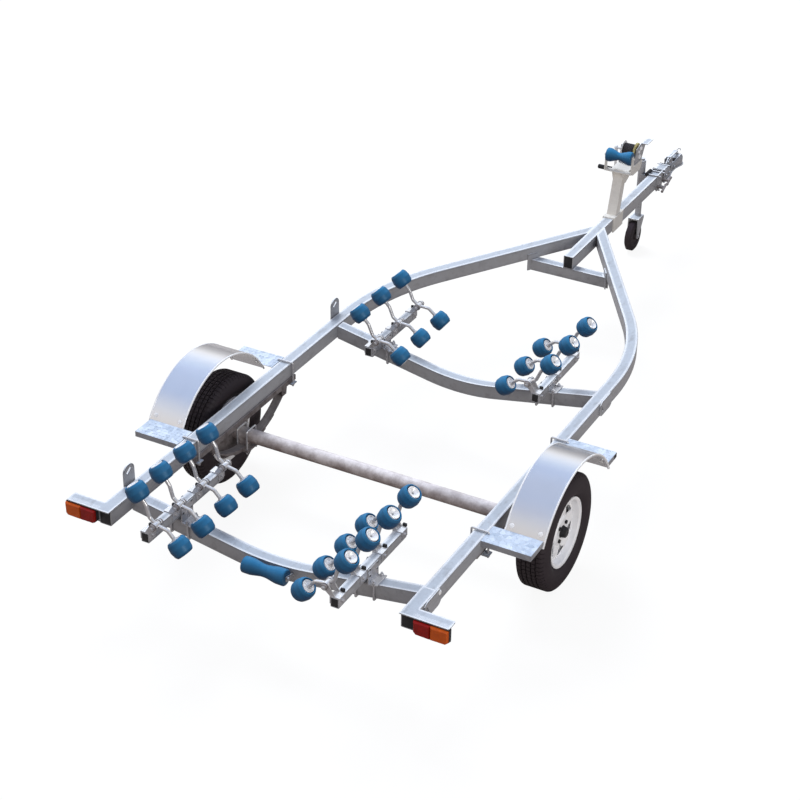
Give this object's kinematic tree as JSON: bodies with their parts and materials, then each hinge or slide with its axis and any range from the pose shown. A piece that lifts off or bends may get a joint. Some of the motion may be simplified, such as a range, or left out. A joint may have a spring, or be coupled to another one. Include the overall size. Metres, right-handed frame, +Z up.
{
  "type": "roller boat trailer",
  "caption": "Single-axle boat trailer with galvanised frame, rocking blue roller cradles, fenders, winch post, jockey wheel and ball coupling.",
  "frame": {"origin": "on the ground, under the middle of the overall length and width", "axes": "+Y forward to the coupling, +X to the right, +Z up"},
  "size_m": [2.17, 5.462, 0.947],
  "materials": {
    "galvanised": "hot-dip galvanised steel, spangled, satin",
    "fender_sheet": "galvanised sheet, smooth and brighter than the tubes",
    "chequer_plate": "galvanised chequer plate",
    "black_plastic": "moulded, matt",
    "black_rubber": "solid rubber tyre",
    "blue_roller": "moulded blue roller, semi-matt",
    "tyre_rubber": "road tyre",
    "rim_paint": "silver-white paint",
    "red_lens": "red lamp lens",
    "amber_lens": "amber lamp lens"
  },
  "bodies": {
    "frame": {"side_rail_left": "galvanised", "side_rail_right": "galvanised", "drawbar": "galvanised", "middle_crossmember": "galvanised", "rear_crossmember": "galvanised", "end_plugs": "black_plastic", "axle": "galvanised", "leaf_springs": "galvanised", "fenders": "fender_sheet", "steps": "chequer_plate", "u_bolts": "galvanised", "lamp_brackets": "galvanised", "lamp_housings": "black_plastic", "red_lenses": "red_lens", "amber_lenses": "amber_lens", "roller_beams": "galvanised", "beam_fittings": "galvanised", "winch_post": "galvanised", "winch_frame": "galvanised", "jack_outer": "galvanised", "coupling": "galvanised"},
    "wheel_left": {"tyre_left": "tyre_rubber", "rim_left": "rim_paint"},
    "wheel_right": {"tyre_right": "tyre_rubber", "rim_right": "rim_paint"},
    "rocker_body_front_left_1": {"arm_front_left_1": "galvanised", "rollers_front_left_1": "blue_roller"},
    "rocker_body_front_left_2": {"arm_front_left_2": "galvanised", "rollers_front_left_2": "blue_roller"},
    "rocker_body_front_left_3": {"arm_front_left_3": "galvanised", "rollers_front_left_3": "blue_roller"},
    "rocker_body_front_right_1": {"arm_front_right_1": "galvanised", "rollers_front_right_1": "blue_roller"},
    "rocker_body_front_right_2": {"arm_front_right_2": "galvanised", "rollers_front_right_2": "blue_roller"},
    "rocker_body_front_right_3": {"arm_front_right_3": "galvanised", "rollers_front_right_3": "blue_roller"},
    "rocker_body_rear_left_1": {"arm_rear_left_1": "galvanised", "rollers_rear_left_1": "blue_roller"},
    "rocker_body_rear_left_2": {"arm_rear_left_2": "galvanised", "rollers_rear_left_2": "blue_roller"},
    "rocker_body_rear_left_3": {"arm_rear_left_3": "galvanised", "rollers_rear_left_3": "blue_roller"},
    "rocker_body_rear_left_4": {"arm_rear_left_4": "galvanised", "rollers_rear_left_4": "blue_roller"},
    "rocker_body_rear_right_1": {"arm_rear_right_1": "galvanised", "rollers_rear_right_1": "blue_roller"},
    "rocker_body_rear_right_2": {"arm_rear_right_2": "galvanised", "rollers_rear_right_2": "blue_roller"},
    "rocker_body_rear_right_3": {"arm_rear_right_3": "galvanised", "rollers_rear_right_3": "blue_roller"},
    "rocker_body_rear_right_4": {"arm_rear_right_4": "galvanised", "rollers_rear_right_4": "blue_roller"},
    "keel_roller_body": {"keel_roller": "blue_roller"},
    "bow_roller_body": {"bow_roller": "blue_roller"},
    "winch": {"winch_spool": "galvanised", "winch_grip": "black_plastic"},
    "jack_leg": {"jack_inner": "galvanised"},
    "jack_caster": {"jack_fork": "galvanised"},
    "jack_wheel_body": {"jack_wheel": "black_rubber"}
  },
  "joints": [
    {"name": "wheel_left_spin", "type": "hinge", "parent": "frame", "child": "wheel_left", "pos_m": [-0.953, -1.399, 0.298], "axis": [1, 0, 0], "continuous": true},
    {"name": "wheel_right_spin", "type": "hinge", "parent": "frame", "child": "wheel_right", "pos_m": [0.953, -1.399, 0.298], "axis": [1, 0, 0], "continuous": true},
    {"name": "rocker_front_left_1", "type": "hinge", "parent": "frame", "child": "rocker_body_front_left_1", "pos_m": [-0.445, -0.617, 0.57265], "axis": [0, 1, 0], "range_deg": [-20, 20]},
    {"name": "rocker_front_left_2", "type": "hinge", "parent": "frame", "child": "rocker_body_front_left_2", "pos_m": [-0.445, -0.385, 0.57265], "axis": [0, 1, 0], "range_deg": [-20, 20]},
    {"name": "rocker_front_left_3", "type": "hinge", "parent": "frame", "child": "rocker_body_front_left_3", "pos_m": [-0.445, -0.153, 0.57265], "axis": [0, 1, 0], "range_deg": [-20, 20]},
    {"name": "rocker_front_right_1", "type": "hinge", "parent": "frame", "child": "rocker_body_front_right_1", "pos_m": [0.445, -0.617, 0.57265], "axis": [0, 1, 0], "range_deg": [-20, 20]},
    {"name": "rocker_front_right_2", "type": "hinge", "parent": "frame", "child": "rocker_body_front_right_2", "pos_m": [0.445, -0.385, 0.57265], "axis": [0, 1, 0], "range_deg": [-20, 20]},
    {"name": "rocker_front_right_3", "type": "hinge", "parent": "frame", "child": "rocker_body_front_right_3", "pos_m": [0.445, -0.153, 0.57265], "axis": [0, 1, 0], "range_deg": [-20, 20]},
    {"name": "rocker_rear_left_1", "type": "hinge", "parent": "frame", "child": "rocker_body_rear_left_1", "pos_m": [-0.445, -2.679, 0.61786], "axis": [0, 1, 0], "range_deg": [-20, 20]},
    {"name": "rocker_rear_left_2", "type": "hinge", "parent": "frame", "child": "rocker_body_rear_left_2", "pos_m": [-0.445, -2.495, 0.61786], "axis": [0, 1, 0], "range_deg": [-20, 20]},
    {"name": "rocker_rear_left_3", "type": "hinge", "parent": "frame", "child": "rocker_body_rear_left_3", "pos_m": [-0.445, -2.303, 0.61786], "axis": [0, 1, 0], "range_deg": [-20, 20]},
    {"name": "rocker_rear_left_4", "type": "hinge", "parent": "frame", "child": "rocker_body_rear_left_4", "pos_m": [-0.445, -2.115, 0.61786], "axis": [0, 1, 0], "range_deg": [-20, 20]},
    {"name": "rocker_rear_right_1", "type": "hinge", "parent": "frame", "child": "rocker_body_rear_right_1", "pos_m": [0.445, -2.679, 0.61786], "axis": [0, 1, 0], "range_deg": [-20, 20]},
    {"name": "rocker_rear_right_2", "type": "hinge", "parent": "frame", "child": "rocker_body_rear_right_2", "pos_m": [0.445, -2.495, 0.61786], "axis": [0, 1, 0], "range_deg": [-20, 20]},
    {"name": "rocker_rear_right_3", "type": "hinge", "parent": "frame", "child": "rocker_body_rear_right_3", "pos_m": [0.445, -2.303, 0.61786], "axis": [0, 1, 0], "range_deg": [-20, 20]},
    {"name": "rocker_rear_right_4", "type": "hinge", "parent": "frame", "child": "rocker_body_rear_right_4", "pos_m": [0.445, -2.115, 0.61786], "axis": [0, 1, 0], "range_deg": [-20, 20]},
    {"name": "keel_roller_spin", "type": "hinge", "parent": "frame", "child": "keel_roller_body", "pos_m": [0, -2.482, 0.398], "axis": [1, 0, 0], "continuous": true},
    {"name": "bow_roller_spin", "type": "hinge", "parent": "frame", "child": "bow_roller_body", "pos_m": [0, 1.621, 0.905], "axis": [1, 0, 0], "continuous": true},
    {"name": "winch_crank", "type": "hinge", "parent": "frame", "child": "winch", "pos_m": [0, 1.806, 0.88], "axis": [1, 0, 0], "continuous": true},
    {"name": "jack_lift", "type": "slide", "parent": "frame", "child": "jack_leg", "axis": [0, 0, 1], "range_m": [0, 0.15]},
    {"name": "jack_swivel", "type": "hinge", "parent": "jack_leg", "child": "jack_caster", "pos_m": [-0.092, 2.291, 0.226], "axis": [0, 0, 1], "continuous": true},
    {"name": "jack_wheel_spin", "type": "hinge", "parent": "jack_caster", "child": "jack_wheel_body", "pos_m": [-0.092, 2.229, 0.1], "axis": [1, 0, 0], "continuous": true}
  ]
}
